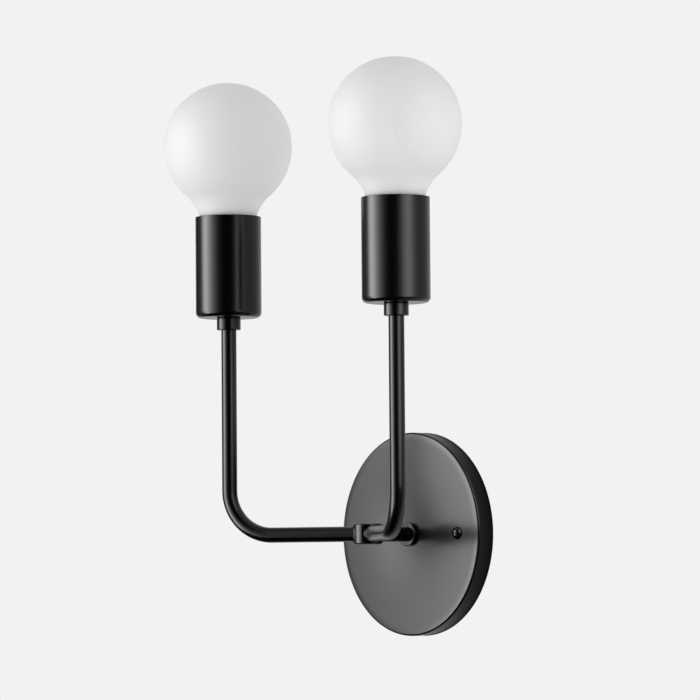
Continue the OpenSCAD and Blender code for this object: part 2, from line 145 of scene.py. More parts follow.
def cut(piece, bm):
    """Cuts a closed mesh out of a piece. The even shading stays out of the cut mesh."""
    mesh = bpy.data.meshes.new("cutter")
    bmesh.ops.recalc_face_normals(bm, faces=bm.faces)
    bm.to_mesh(mesh)
    bm.free()
    tool = bpy.data.objects.new("cutter", mesh)
    bpy.context.scene.collection.objects.link(tool)
    boolean = piece.modifiers.new("cut", "BOOLEAN")
    boolean.operation = "DIFFERENCE"
    boolean.solver = "EXACT"
    boolean.object = tool
    graph = bpy.context.evaluated_depsgraph_get()
    even = piece.modifiers["even_shading"]
    even.show_viewport = False
    graph.update()
    result = bpy.data.meshes.new_from_object(piece.evaluated_get(graph))
    piece.modifiers.remove(boolean)
    even.show_viewport = True
    piece.data = result
    bpy.data.objects.remove(tool)
    result.set_sharp_from_angle(angle=SHARP_ANGLE)


def cut_box(piece, centre, size):
    """Cuts an upright box out of a piece."""
    bm = bmesh.new()
    bmesh.ops.create_cube(bm, size=1)
    place = Matrix.Translation(centre) @ Matrix.Diagonal((*size, 1))
    bmesh.ops.transform(bm, matrix=place, verts=bm.verts)
    cut(piece, bm)


def cut_bore(piece, place, radius, start, end):
    """Cuts a round bore along the height of a frame."""
    outline = [(0, start), (radius, start), (radius, end), (0, end)]
    cut(piece, turned(outline, place, TUBE_STEPS))


# Finishes

# Most of a noise lies between these two values
NOISE_LOW = 0.3
NOISE_HIGH = 0.7


class Finish:
    """A material with one Principled shader, and short ways to add nodes to it."""

    def __init__(self, name, colour, roughness, metallic=0.0):
        self.material = bpy.data.materials.new(name)
        self.material.use_nodes = True
        self.nodes = self.material.node_tree.nodes
        self.links = self.material.node_tree.links
        self.shader = self.nodes["Principled BSDF"]
        self.set("Base Color", (*colour, 1))
        self.set("Roughness", roughness)
        self.set("Metallic", metallic)
        self.set("IOR", 1.5)
        self.place = self.nodes.new("ShaderNodeTexCoord").outputs["Object"]

    def set(self, socket, value):
        """Gives a socket of the shader one value."""
        self.shader.inputs[socket].default_value = value

    def noise(self, size, detail=2.0, roughness=0.5):
        """Noise with lumps of about that size."""
        node = self.nodes.new("ShaderNodeTexNoise")
        node.inputs["Scale"].default_value = 1 / size
        node.inputs["Detail"].default_value = detail
        node.inputs["Roughness"].default_value = roughness
        self.links.new(self.place, node.inputs["Vector"])
        return node.outputs["Fac"]

    def spread(self, noise, low, high):
        """A noise, mapped to go from low to high."""
        node = self.nodes.new("ShaderNodeMapRange")
        node.inputs["From Min"].default_value = NOISE_LOW
        node.inputs["From Max"].default_value = NOISE_HIGH
        node.inputs["To Min"].default_value = low
        node.inputs["To Max"].default_value = high
        self.links.new(noise, node.inputs["Value"])
        return node.outputs["Result"]

    def blend(self, noise, first, second):
        """A colour between two, by a noise."""
        node = self.nodes.new("ShaderNodeMix")
        node.data_type = "RGBA"
        node.inputs["A"].default_value = (*first, 1)
        node.inputs["B"].default_value = (*second, 1)
        self.links.new(noise, node.inputs["Factor"])
        return node.outputs["Result"]

    def drive(self, socket, source):
        """Has a socket of the shader follow a source."""
        self.links.new(source, self.shader.inputs[socket])
        return self

    def bump(self, height, distance):
        """Small relief, that high where the height is 1."""
        node = self.nodes.new("ShaderNodeBump")
        node.inputs["Distance"].default_value = distance
        self.links.new(height, node.inputs["Height"])
        self.links.new(node.outputs["Normal"], self.shader.inputs["Normal"])
        return self


def satin_powder_coat():
    """Satin black powder coat: a faint orange peel over a very dark ground."""
    coat = Finish("satin_powder_coat", (0.001, 0.001, 0.001), 0.23)
    clouds = coat.noise(9 * MM)
    coat.drive("Base Color", coat.blend(clouds, (0.0008, 0.0008, 0.0008), (0.0012, 0.0012, 0.0012)))
    coat.drive("Roughness", coat.spread(coat.noise(4 * MM, 3), 0.22, 0.24))
    return coat.bump(coat.noise(0.9 * MM, 2), 0.002 * MM)


def black_oxide():
    """Gloss black on the screw heads."""
    oxide = Finish("black_oxide", (0.002, 0.002, 0.002), 0.14)
    oxide.drive("Roughness", oxide.spread(oxide.noise(1.5 * MM, 3), 0.12, 0.17))
    return oxide.bump(oxide.noise(0.3 * MM, 2), 0.003 * MM)


def zinc_plate():
    """Bright zinc on stamped steel: cool grey with cloudy patches and fine rolling marks."""
    zinc = Finish("zinc_plate", (0.62, 0.64, 0.66), 0.34, metallic=1.0)
    zinc.drive("Base Color", zinc.blend(zinc.noise(7 * MM, 4), (0.50, 0.52, 0.54), (0.68, 0.70, 0.72)))
    zinc.drive("Roughness", zinc.spread(zinc.noise(2.5 * MM, 4), 0.28, 0.44))
    return zinc.bump(zinc.noise(0.25 * MM, 3), 0.004 * MM)


def green_screw():
    """Green dye on the ground screw's zinc."""
    green = Finish("green_screw", (0.03, 0.28, 0.10), 0.35, metallic=0.7)
    green.drive("Base Color", green.blend(green.noise(2 * MM, 3), (0.02, 0.22, 0.07), (0.05, 0.34, 0.14)))
    return green.bump(green.noise(0.3 * MM), 0.004 * MM)


def moulded_phenolic():
    """Dark brown moulded resin of the lampholder, with faint flow clouds."""
    resin = Finish("moulded_phenolic", (0.035, 0.022, 0.016), 0.38)
    clouds = resin.noise(5 * MM, 5, 0.6)
    resin.drive("Base Color", resin.blend(clouds, (0.024, 0.015, 0.011), (0.050, 0.032, 0.023)))
    resin.drive("Roughness", resin.spread(resin.noise(1.2 * MM, 3), 0.32, 0.46))
    return resin.bump(resin.noise(0.5 * MM, 3), 0.006 * MM)


def rolled_brass(name, dark, light):
    """Thin sheet brass of the screw shell and contacts, dulled in patches."""
    brass = Finish(name, light, 0.3, metallic=1.0)
    brass.drive("Base Color", brass.blend(brass.noise(3 * MM, 4), dark, light))
    brass.drive("Roughness", brass.spread(brass.noise(1.2 * MM, 3), 0.24, 0.42))
    return brass.bump(brass.noise(0.2 * MM), 0.003 * MM)


def frosted_glass():
    """White frosted globe: an even milky body under an etched surface."""
    glass = Finish("frosted_glass", (0.88, 0.88, 0.88), 0.62)
    clouds = glass.noise(14 * MM, 2)
    glass.drive("Base Color", glass.blend(clouds, (0.865, 0.865, 0.865), (0.895, 0.895, 0.893)))
    glass.drive("Roughness", glass.spread(glass.noise(2 * MM, 3), 0.60, 0.66))
    return glass.bump(glass.noise(0.35 * MM, 2), 0.004 * MM)


def nickel_base():
    """Nickel-plated base of the bulb."""
    nickel = Finish("nickel_base", (0.66, 0.65, 0.62), 0.27, metallic=1.0)
    clouds = nickel.noise(4 * MM, 3)
    nickel.drive("Base Color", nickel.blend(clouds, (0.58, 0.57, 0.54), (0.70, 0.69, 0.66)))
    nickel.drive("Roughness", nickel.spread(nickel.noise(1.5 * MM, 3), 0.21, 0.34))
    return nickel.bump(nickel.noise(0.8 * MM), 0.001 * MM)


def black_glass():
    """Glossy black glass between the base and its contact."""
    glass = Finish("black_glass", (0.008, 0.008, 0.012), 0.12)
    glass.drive("Roughness", glass.spread(glass.noise(2 * MM, 3), 0.08, 0.2))
    return glass.bump(glass.noise(0.8 * MM), 0.01 * MM)


def solder():
    """Dull solder on the centre contact."""
    tin = Finish("solder", (0.55, 0.55, 0.57), 0.45, metallic=1.0)
    tin.drive("Base Color", tin.blend(tin.noise(1.5 * MM, 4), (0.42, 0.42, 0.44), (0.62, 0.62, 0.64)))
    return tin.bump(tin.noise(0.8 * MM, 3), 0.02 * MM)


def clear_glass():
    """Clear glass of the bulb's inner stem."""
    glass = Finish("clear_glass", (0.96, 0.98, 0.97), 0.04)
    glass.set("Transmission Weight", 0.9)
    glass.drive("Roughness", glass.spread(glass.noise(3 * MM), 0.02, 0.07))
    return glass


def filament_wire():
    """Grey nickel lead wire and filament."""
    wire = Finish("filament_wire", (0.42, 0.41, 0.40), 0.35, metallic=1.0)
    return wire.drive("Roughness", wire.spread(wire.noise(0.5 * MM), 0.28, 0.45))


finishes = {
    "black_coat": satin_powder_coat().material,
    "black_screw": black_oxide().material,
    "zinc_steel": zinc_plate().material,
    "ground_green": green_screw().material,
    "phenolic": moulded_phenolic().material,
    "screw_shell": rolled_brass("rolled_brass", (0.62, 0.44, 0.20), (0.78, 0.60, 0.31)).material,
    "brass_screw": rolled_brass("screw_brass", (0.55, 0.38, 0.16), (0.72, 0.54, 0.27)).material,
    "frosted_glass": frosted_glass().material,
    "bulb_base": nickel_base().material,
    "black_glass": black_glass().material,
    "solder": solder().material,
    "clear_glass": clear_glass().material,
    "filament": filament_wire().material,
}
# Each CAD node takes the finish that its slot names
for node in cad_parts.values():
    for holder in node.material_slots:
        holder.material = finishes[holder.material.name]


# Pieces at the wall

CANOPY_WALL = 1.2 * MM
CANOPY_CORNER = 1.7 * MM
CANOPY_BACK_EDGE = 0.45 * MM
CANOPY_RINGS = 70
# The face stands this far before the flat one, and falls away from its middle to its rim
CANOPY_LIFT = 0.25 * MM
CANOPY_DOME = 0.4 * MM
# The nut draws the middle in by this much, over this spread
CANOPY_DRAWN_IN = 0.85 * MM
CANOPY_DRAWN_R = 19 * MM
# The face starts to turn down just inside its corner
CANOPY_ROLL = 0.1 * MM
CANOPY_ROLL_WIDTH = 3.2 * MM
# Bore of all that is threaded on a nipple
NIPPLE_HOLE = 4.05 * MM


def canopy_dish():
    """Spun dish: a slightly domed face that its nut draws in at the middle, a rounded front
    corner and a softened back edge."""
    middle, half, low, _ = box_of("canopy")
    radius, depth = half.x, -low.y
    inner = CANOPY_CORNER - CANOPY_WALL
    back = CANOPY_BACK_EDGE
    flat = radius - CANOPY_CORNER
    roll_start = flat - CANOPY_ROLL_WIDTH
    face = []
    for i in range(CANOPY_RINGS + 1):
        r = NIPPLE_HOLE + (flat - NIPPLE_HOLE) * i / CANOPY_RINGS
        rolled = max(0, (r - roll_start) / CANOPY_ROLL_WIDTH)
        drawn_in = CANOPY_DRAWN_IN * math.exp(-0.5 * (r / CANOPY_DRAWN_R) ** 2)
        fall = CANOPY_DOME * (r / flat) ** 2 + CANOPY_ROLL * rolled ** 2
        face.append((r, depth + CANOPY_LIFT - drawn_in - fall))
    (near_r, near_y), (end_r, end_y) = face[-2:]
    tilt = math.degrees(math.atan2(near_y - end_y, end_r - near_r))
    corner_y = end_y - CANOPY_CORNER
    outline = [
        *face[:-1],
        *arc(radius - CANOPY_CORNER, corner_y, CANOPY_CORNER, 90 - tilt, 0),
        *arc(radius - back, back, back, 0, -90, 10),
        (radius - CANOPY_WALL + EDGE, 0), (radius - CANOPY_WALL, EDGE),
        *arc(radius - CANOPY_WALL - inner, depth - CANOPY_WALL - inner, inner, 0, 90),
        (NIPPLE_HOLE, depth - CANOPY_WALL),
    ]
    add_piece("canopy_dish", turned(outline, on_wall(middle.x, middle.z)),
              "fixture", "black_coat", ["canopy"])


SCREW_R = 2.085 * MM
SLOT_W = 0.9 * MM
SLOT_H = 1.5 * MM
SCREW_ROWS = 44
# How far a screw's head reaches below the canopy's highest ring
SCREW_SUNK = 0.35 * MM


def canopy_screws():
    """Two round-head screws: a domed head with an upright slot, and a threaded shank."""
    middle, half, low, high = box_of("canopy_screws")
    face = -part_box("canopy")[0].y
    head_r = half.z
    head_h = -low.y - face
    dome_r = (head_r ** 2 + head_h ** 2) / (2 * head_h)
    tip = -high.y
    rim = math.degrees(math.asin((dome_r - head_h) / dome_r))
    seat = face - SCREW_SUNK
    start = tip + SCREW_THREAD_DEPTH
    shank = [(SCREW_R, start + (seat - tip - SCREW_THREAD_DEPTH) * i / SCREW_ROWS, 1)
             for i in range(SCREW_ROWS + 1)]
    outline = [
        (0, tip), (SCREW_R - 2 * SCREW_THREAD_DEPTH, tip), *shank, (head_r, seat),
        *arc(0, face + head_h - dome_r, dome_r, rim + 3, 90, 3),
    ]
    for name, x in (("left", low.x + head_r), ("right", high.x - head_r)):
        bm = turned(outline, on_wall(x, middle.z), TUBE_STEPS, SCREW_PITCH, SCREW_THREAD_DEPTH)
        screw = add_piece(f"canopy_screw_{name}", bm, "fixture", "black_screw",
                          ["canopy_screws"] if name == "left" else [])
        cut_box(screw, (x, -(face + head_h), middle.z), (SLOT_W, 2 * SLOT_H, 4 * head_r))


COLLAR_EDGE = 0.8 * MM
# The collar reaches this far back, into the drawn-in middle of the canopy
COLLAR_SUNK = 0.8 * MM


def stem_collar():
    """Turned ring with a rounded front edge."""
    middle, half, low, high = box_of("stem_collar")
    radius, back, front = half.x, -high.y - COLLAR_SUNK, -low.y
    outline = [
        (NIPPLE_HOLE, back), *arc(radius - EDGE, back + EDGE, EDGE, -90, 0, 15),
        *arc(radius - COLLAR_EDGE, front - COLLAR_EDGE, COLLAR_EDGE, 0, 90),
        (NIPPLE_HOLE, front),
    ]
    add_piece("stem_collar_ring", turned(outline, on_wall(middle.x, middle.z)),
              "fixture", "black_coat", ["stem_collar"])


TUBE_BORE = 3.5 * MM
# Length of a tube's end that the nipple fills
NIPPLE_GRIP = 10 * MM


def stem_pipe():
    """Straight tube, bored wider where the nipple grips it."""
    middle, half, low, high = box_of("stem_tube")
    radius, back, front = half.x, -high.y, -low.y
    grip_end = back + NIPPLE_GRIP
    outline = [
        (NIPPLE_HOLE, back), (radius - EDGE, back), (radius, back + EDGE), (radius, front - EDGE),
        (radius - EDGE, front), (TUBE_BORE, front), (TUBE_BORE, grip_end), (NIPPLE_HOLE, grip_end),
    ]
    add_piece("stem_pipe", turned(outline, on_wall(middle.x, middle.z), TUBE_STEPS),
              "fixture", "black_coat", ["stem_tube"])


# Cluster body and arms

HUB_EDGE = 1.2 * MM
PORT_DEPTH = 3.8 * MM
PORT_GAP = 0.55 * MM
# The cut of a port runs this far past the hub
PORT_PAST = 1 * MM
# Turn of an arm from straight out, in degrees, and the middle radius and steps of its bend
ARM_ANGLE = 60
ARM_BEND = 28 * MM
BEND_STEPS = 40


def arm_direction(side):
    """The level direction in which an arm leaves the hub."""
    turn = math.radians(ARM_ANGLE) * (-1 if side == "left" else 1)
    return Vector((math.sin(turn), -math.cos(turn), 0))


def port_frame(hub, direction):
    """A frame at the hub's middle whose height points along a level direction."""
    return Matrix.Translation(hub) @ direction.to_track_quat("Z", "Y").to_matrix().to_4x4()


def cluster_hub():
    """Upright cylinder with rolled edges and three bored ports."""
    middle, half, _, _ = box_of("cluster_body")
    radius, h = half.x, half.z
    outline = [
        (0, -h), (radius - 2 * HUB_EDGE, -h),
        *arc(radius - HUB_EDGE, HUB_EDGE - h, HUB_EDGE, -90, 0),
        *arc(radius - HUB_EDGE, h - HUB_EDGE, HUB_EDGE, 0, 90),
        (radius - 2 * HUB_EDGE, h), (0, h),
    ]
    hub = add_piece("cluster_hub", turned(outline, upright(*middle)), "fixture", "black_coat",
                    ["cluster_body"])
    tube_r = box_of("stem_tube")[1].x
    directions = [Vector((0, 1, 0)), arm_direction("left"), arm_direction("right")]
    for direction in directions:
        cut_bore(hub, port_frame(middle, direction), tube_r + PORT_GAP, radius - PORT_DEPTH,
                 radius + PORT_PAST)


def arm_pipe(side):
    """One bent tube with its bore: level from its port, a quarter bend, then upright."""
    hub, hub_half, _, _ = box_of("cluster_body")
    lamp, _, low, _ = box_of(f"{side}_neck_collar")
    tube_r = box_of("stem_tube")[1].x
    level = arm_direction(side)
    across = level.cross(UP)
    reach = Vector((lamp.x - hub.x, lamp.y - hub.y)).length
    start = hub_half.x - PORT_DEPTH
    bend_start = reach - ARM_BEND
    top = low.z
    stations = [(level * start, level), (level * (start + EDGE), level),
                (level * (bend_start - EDGE), level)]
    for i in range(BEND_STEPS + 1):
        bend = math.radians(90) * i / BEND_STEPS
        rise = ARM_BEND * (1 - math.cos(bend))
        centre = level * (bend_start + ARM_BEND * math.sin(bend)) + UP * rise
        stations.append((centre, level * math.cos(bend) + UP * math.sin(bend)))
    column = level * reach
    for z in (ARM_BEND + EDGE, top - NIPPLE_GRIP, top - EDGE, top):
        stations.append((column + UP * z, UP))
    outside = [(c, t, tube_r) for c, t in stations]
    outside[0] = (*stations[0], tube_r - EDGE)
    outside[-1] = (*stations[-1], tube_r - EDGE)
    inside = [(c, t, NIPPLE_HOLE if c.z > top - NIPPLE_GRIP - EDGE / 2 and t.z == 1 else TUBE_BORE)
              for c, t in reversed(stations)]
    bm = bmesh.new()
    rings = []
    for centre, along, radius in outside + inside:
        out = across.cross(along)
        ring = [bm.verts.new(hub + centre + radius * (math.cos(a) * across + math.sin(a) * out))
                for a in (2 * math.pi * k / TUBE_STEPS for k in range(TUBE_STEPS))]
        rings.append(ring)
    for first, second in zip(rings, rings[1:] + rings[:1]):
        for k in range(TUBE_STEPS):
            after = (k + 1) % TUBE_STEPS
            bm.faces.new((first[k], first[after], second[after], second[k]))
    add_piece(f"{side}_arm_pipe", bm, "fixture", "black_coat", [f"{side}_arm"])


NECK_LOW_EDGE = 0.5 * MM
NECK_HIGH_EDGE = 0.6 * MM


def neck_ring(side):
    """Turned collar between the arm's end and the cup."""
    middle, half, low, high = box_of(f"{side}_neck_collar")
    radius, h = half.x, high.z - low.z
    outline = [
        (NIPPLE_HOLE, 0), *arc(radius - NECK_LOW_EDGE, NECK_LOW_EDGE, NECK_LOW_EDGE, -90, 0, 10),
        *arc(radius - NECK_HIGH_EDGE, h - NECK_HIGH_EDGE, NECK_HIGH_EDGE, 0, 90, 15),
        (NIPPLE_HOLE, h),
    ]
    add_piece(f"{side}_neck_ring", turned(outline, upright(middle.x, middle.y, low.z)),
              "fixture", "black_coat", [f"{side}_neck_collar"])


CUP_WALL = 1 * MM
CUP_FLOOR = 1.2 * MM
CUP_EDGE = 3.4 * MM


def cup_shell(side):
    """Drawn cup with a rounded bottom edge and a softened rim."""
    middle, half, low, high = box_of(f"{side}_socket_cup")
    radius, h = half.x, high.z - low.z
    inner = CUP_EDGE - CUP_WALL
    bore = radius - CUP_WALL
    outline = [
        (NIPPLE_HOLE, 0), (radius - 2 * CUP_EDGE, 0),
        *arc(radius - CUP_EDGE, CUP_EDGE, CUP_EDGE, -90, 0),
        *arc(radius - EDGE, h - EDGE, EDGE, 0, 90, 15), *arc(bore + EDGE, h - EDGE, EDGE, 90, 180, 15),
        *arc(bore - inner, CUP_FLOOR + inner, inner, 0, -90), (NIPPLE_HOLE, CUP_FLOOR),
    ]
    add_piece(f"{side}_cup_shell", turned(outline, upright(middle.x, middle.y, low.z)),
              "fixture", "black_coat", [f"{side}_socket_cup"])


# Lamps

GLASS_WALL = 0.8 * MM
# Radius of the glass's neck at the base's rim, of the hollow sweep above it and of its shoulder
NECK_R = 16.9 * MM
NECK_SWEEP = 28 * MM
SHOULDER = 5.2 * MM
# The glass's end inside the base
PLUG_OUT_R = 12.02 * MM
PLUG_IN_R = 11.78 * MM
PLUG_H = 10 * MM
BASE_WALL = 0.35 * MM
BASE_LIP_R = 11.6 * MM
BASE_CORNER = 1 * MM
# Height of the base's plain rim above its thread, and how far the thread fades out
BASE_RIM_H = 4 * MM
BASE_FADE = 2.5 * MM
# The shell's clearance round the base, its sheet, its inward flange and its plain ends
SHELL_GAP = 0.3 * MM
SHELL_SHEET = 0.4 * MM
SHELL_FLANGE = 2.2 * MM
SHELL_END = 1 * MM
SHELL_FADE = 1.5 * MM
THREAD_ROW = 0.2 * MM


def touching_both(first, first_r, second, second_r, r):
    """Centre of a circle of radius r that touches two circles from outside, on their +x side."""
    across = Vector(second) - Vector(first)
    span = across.length
    down = across / span
    along = (span ** 2 + (first_r + r) ** 2 - (second_r + r) ** 2) / (2 * span)
    aside = math.sqrt((first_r + r) ** 2 - along ** 2)
    return Vector(first) + along * down + aside * Vector((-down.y, down.x))


def bearing(start, end):
    """The direction from one point to another, in degrees."""
    return math.degrees(math.atan2(end[1] - start[1], end[0] - start[0]))


def glass_outline(globe_r, globe_z, rim_z, inset, plug_r):
    """Half of the bulb's outline, from the crown down to its end inside the base."""
    crown = (0, globe_z)
    shoulder = (NECK_R - SHOULDER, rim_z + SHOULDER)
    sweep = touching_both(crown, globe_r, shoulder, SHOULDER, NECK_SWEEP)
    leave, join = bearing(crown, sweep), bearing(shoulder, sweep)
    bow = SHOULDER - inset
    foot = -math.degrees(math.acos((plug_r - shoulder[0]) / bow))
    dome = arc(*crown, globe_r - inset, 90, leave, 2)
    return [
        (0, dome[0][1]), *dome[1:],
        *arc(*sweep, NECK_SWEEP + inset, 180 + leave, 180 + join, 3),
        *arc(*shoulder, bow, join, foot, 6),
        (plug_r, rim_z - PLUG_H),
    ]


def globe(side):
    """Frosted globe bulb with its necked glass."""
    middle, half, _, high = box_of(f"{side}_bulb_glass")
    rim_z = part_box(f"{side}_bulb_shell")[1].z
    globe_r = half.x
    globe_z = high.z - globe_r
    outer = glass_outline(globe_r, globe_z, rim_z, 0, PLUG_OUT_R)
    inner = glass_outline(globe_r, globe_z, rim_z, GLASS_WALL, PLUG_IN_R)
    outline = outer + inner[::-1]
    add_piece(f"{side}_globe", turned(outline, upright(middle.x, middle.y, 0)),
              f"{side}_bulb", "frosted_glass", [f"{side}_bulb_glass"])


def threaded_rows(radius, low, high, fade):
    """Outline points up a threaded wall, with the thread faded out at both ends."""
    count = round((high - low) / THREAD_ROW)
    rows = []
    for i in range(count + 1):
        z = low + (high - low) * i / count
        rows.append((radius, z, min(1, (z - low) / fade, (high - z) / fade)))
    return rows


def base_shell(side):
    """Thin threaded shell with a lip at the bottom and a plain rim at the top."""
    middle, half, low, high = box_of(f"{side}_bulb_shell")
    radius = half.x
    corner_x, corner_z = radius - BASE_CORNER, low.z + BASE_CORNER
    outer = threaded_rows(radius, corner_z, high.z - BASE_RIM_H, BASE_FADE)
    inner = [(r - BASE_WALL, z, threaded) for r, z, threaded in reversed(outer)]
    outline = [
        (BASE_LIP_R, low.z + BASE_WALL), (BASE_LIP_R, low.z),
        *arc(corner_x, corner_z, BASE_CORNER, -90, -10, 10), *outer,
        (radius, high.z - 0.2 * MM), (radius - 0.1 * MM, high.z), (radius - BASE_WALL, high.z),
        *inner, *arc(corner_x, corner_z, BASE_CORNER - BASE_WALL, -10, -90, 10),
    ]
    bm = turned(outline, upright(middle.x, middle.y, 0), THREAD_STEPS, BASE_PITCH, BASE_THREAD_DEPTH)
    add_piece(f"{side}_base_shell", bm, f"{side}_bulb", "bulb_base", [f"{side}_bulb_shell"])


def screw_shell(side):
    """Threaded shell of the lampholder, which the bulb's base runs in."""
    middle, half, low, high = box_of(f"{side}_socket_shell")
    base_r = box_of(f"{side}_bulb_shell")[1].x
    inner_r = base_r + SHELL_GAP
    outer_r = half.x
    flange, floor = inner_r - SHELL_FLANGE, low.z + SHELL_SHEET
    inner = threaded_rows(inner_r, low.z + SHELL_END, high.z - SHELL_END, SHELL_FADE)
    outer = [(outer_r, z, threaded) for _, z, threaded in reversed(inner)]
    outline = [
        (flange, low.z), (flange, floor), (inner_r - SHELL_SHEET, floor),
        *inner, (inner_r, high.z), (outer_r, high.z), *outer, (outer_r, low.z),
    ]
    bm = turned(outline, upright(middle.x, middle.y, 0), THREAD_STEPS, BASE_PITCH, BASE_THREAD_DEPTH)
    add_piece(f"{side}_screw_shell", bm, "fixture", "screw_shell", [f"{side}_socket_shell"])


canopy_dish()
canopy_screws()
stem_collar()
stem_pipe()
cluster_hub()
for side in SIDES:
    arm_pipe(side)
    neck_ring(side)
    cup_shell(side)
    globe(side)
    base_shell(side)
    screw_shell(side)


# Camera, at the photograph's viewpoint. The focal length is in pixels of its picture.

CAMERA_AZIMUTH = math.radians(48.771)
CAMERA_PITCH = math.radians(3.509)
CAMERA_ROLL = math.radians(-0.443)
CAMERA_DISTANCE = 2.46233
CAMERA_RIGHT = 0.046395
CAMERA_UP = -0.115433
FOCAL_PIXELS = 3930.17
PICTURE_PIXELS = 700
SENSOR = 36
CAMERA_REACH = 50


def make_camera():
    """The camera, by where the sconce's origin lies from it: ahead, to the right and up."""
    forward = Vector((-math.sin(CAMERA_AZIMUTH) * math.cos(CAMERA_PITCH),
                      math.cos(CAMERA_AZIMUTH) * math.cos(CAMERA_PITCH), math.sin(CAMERA_PITCH)))
    level = Vector((math.cos(CAMERA_AZIMUTH), math.sin(CAMERA_AZIMUTH), 0))
    plumb = level.cross(forward)
    right = math.cos(CAMERA_ROLL) * level + math.sin(CAMERA_ROLL) * plumb
    up = math.cos(CAMERA_ROLL) * plumb - math.sin(CAMERA_ROLL) * level
    data = bpy.data.cameras.new("camera")
    data.sensor_width = SENSOR
    data.lens = FOCAL_PIXELS / PICTURE_PIXELS * SENSOR
    data.clip_end = CAMERA_REACH
    camera = bpy.data.objects.new("camera", data)
    bpy.context.scene.collection.objects.link(camera)
    turn = Matrix((right, up, -forward)).transposed()
    place = -forward * CAMERA_DISTANCE - right * CAMERA_RIGHT - up * CAMERA_UP
    camera.matrix_world = Matrix.Translation(place) @ turn.to_4x4()
    bpy.context.scene.camera = camera


# Light. Turns are degrees to the right of the camera, seen from the sconce.

LIGHT_TARGET = Vector((0, -0.09, 0.08))
BACKDROP = 0.888
FILL_BELOW = 0.76
FILL_ABOVE = 0.60


def from_sconce(turn):
    """The level direction at a turn from the camera."""
    azimuth = CAMERA_AZIMUTH + math.radians(turn)
    return Vector((math.sin(azimuth), -math.cos(azimuth), 0))


def panel(name, centre, turn, distance, width, height, radiance):
    """A soft rectangular light that faces a place and isn't mirrored in the sconce."""
    light = bpy.data.lights.new(name, "AREA")
    light.shape = "RECTANGLE"
    light.size = width
    light.size_y = height
    light.energy = radiance * math.pi * width * height
    lamp = bpy.data.objects.new(name, light)
    bpy.context.scene.collection.objects.link(lamp)
    direction = from_sconce(turn)
    lamp.location = centre + direction * distance
    lamp.rotation_mode = "QUATERNION"
    lamp.rotation_quaternion = direction.to_track_quat("Z", "Y")
    lamp.visible_camera = False
    lamp.visible_glossy = False


def glowing_paint(name):
    """A material that shines by the mesh's own glow value at each point."""
    paint = bpy.data.materials.new(name)
    paint.use_nodes = True
    nodes, links = paint.node_tree.nodes, paint.node_tree.links
    nodes.remove(nodes["Principled BSDF"])
    glow = nodes.new("ShaderNodeAttribute")
    glow.attribute_name = "glow"
    shine = nodes.new("ShaderNodeEmission")
    links.new(glow.outputs["Fac"], shine.inputs["Strength"])
    links.new(shine.outputs["Emission"], nodes["Material Output"].inputs["Surface"])
    return paint


def glow_sheet(name, rows):
    """A sheet seen only in reflections. Each row is a list of (point, radiance)."""
    bm = bmesh.new()
    level = bm.verts.layers.float.new("glow")
    grid = []
    for row in rows:
        line = []
        for point, radiance in row:
            corner = bm.verts.new(point)
            corner[level] = radiance
            line.append(corner)
        grid.append(line)
    for first, second in zip(grid, grid[1:]):
        for k in range(len(first) - 1):
            bm.faces.new((first[k], second[k], second[k + 1], first[k + 1]))
    mesh = bpy.data.meshes.new(name)
    bm.to_mesh(mesh)
    bm.free()
    mesh.materials.append(glowing_paint(name))
    sheet = bpy.data.objects.new(name, mesh)
    bpy.context.scene.collection.objects.link(sheet)
    sheet.visible_camera = False
    sheet.visible_diffuse = False
    sheet.visible_transmission = False


CARD_STEP = 2


def card(name, centre, radius, turns, heights, glow):
    """An upright curved card around a place. glow gives its radiance at a turn and a height."""
    first, last = turns
    columns = math.ceil((last - first) / CARD_STEP)
    rows = []
    for i in range(columns + 1):
        turn = first + (last - first) * i / columns
        foot = centre + radius * from_sconce(turn)
        rows.append([((foot.x, foot.y, z), glow(turn, z)) for z in heights])
    glow_sheet(name, rows)


def smooth(value, start, end):
    """0 to 1 between start and end, with no corners."""
    t = min(1, max(0, (value - start) / (end - start)))
    return t * t * (3 - 2 * t)


def between(value, pairs):
    """The value on a line through (place, level) pairs."""
    for (x0, y0), (x1, y1) in zip(pairs, pairs[1:]):
        if value <= x1:
            return y0 + (y1 - y0) * max(0, value - x0) / (x1 - x0)
    return pairs[-1][1]


KEY_DISTANCE = 3.0
KEY_TURNS = (-150, -22)
KEY_HEIGHTS = (-1.9, -0.6, 0, 0.1, 0.2, 0.25, 0.3, 0.35, 0.4, 0.45, 0.6, 1.2, 2.4)
KEY_FADE = ((-90, 8.0), (-82, 7.9), (-75, 5.9), (-68, 3.9), (-60, 2.45), (-52, 1.4), (-44, 0.62),
            (-36, 0.18), (-28, 0.04), (-22, 0))
KEY_SPILL = 0.26
# The key's far edge, in degrees. It leans: low down it stands nearer to the camera
KEY_EDGE = -112.3
KEY_EDGE_WIDTH = 22
KEY_LEAN = 7.2


def key_glow(turn, z):
    """The large light at the left: a faint spill past a steep far edge, and a long fade towards
    the camera."""
    edge = KEY_EDGE + KEY_LEAN * (1 - smooth(z, 0.2, 0.45))
    spill = KEY_SPILL * smooth(turn, -150, -108) * (1 - smooth(turn, -100, -70))
    return between(turn, KEY_FADE) * smooth(turn, edge, edge + KEY_EDGE_WIDTH) + spill


STRIP_DISTANCE = 0.2
STRIP_TURNS = (2, 76)
STRIP_HEIGHTS = (-0.3, -0.02, 0, 0.02, 0.04, 0.06, 0.08, 0.1, 0.5)
STRIP_FADE = ((2, 0), (10, 0.3), (18, 0.95), (26, 1.9), (34, 2.75), (41, 3.0), (47, 2.6), (54, 1.7),
              (61, 1.0), (68, 0.65), (76, 0.5))


def strip_glow(turn, z):
    """The light beside the right lamp, weaker low down."""
    return between(turn, STRIP_FADE) * (0.05 + 0.95 * smooth(z, -0.01, 0.08))


